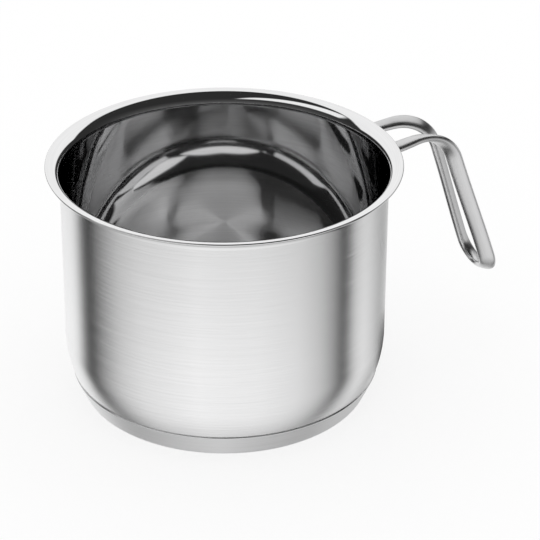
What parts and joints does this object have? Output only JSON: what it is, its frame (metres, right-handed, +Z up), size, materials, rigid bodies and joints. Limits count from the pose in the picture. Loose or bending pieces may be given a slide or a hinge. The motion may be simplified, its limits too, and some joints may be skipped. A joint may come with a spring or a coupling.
{
  "type": "milk pot",
  "caption": "Small deep steel cooking pot with a flared pouring rim, a thick sandwich base and a loop handle bent from one oval bar.",
  "frame": {"origin": "middle of the flat base face that the pot stands on", "axes": "+Z up along the pot's axis, +X from the axis towards the handle"},
  "size_m": [0.2143, 0.1544, 0.1095],
  "materials": {
    "shell_steel": "brushed round the outside, polished inside and on the rim",
    "base_steel": "satin, turned",
    "core_aluminium": "raw, hidden",
    "handle_steel": "satin, brushed along the bar",
    "weld_steel": "ground weld"
  },
  "bodies": {
    "root": {"pot_body": "shell_steel", "base_cap": "base_steel", "heat_core": "core_aluminium", "handle_loop": "handle_steel", "handle_weld_left": "weld_steel", "handle_weld_right": "weld_steel"}
  },
  "joints": []
}
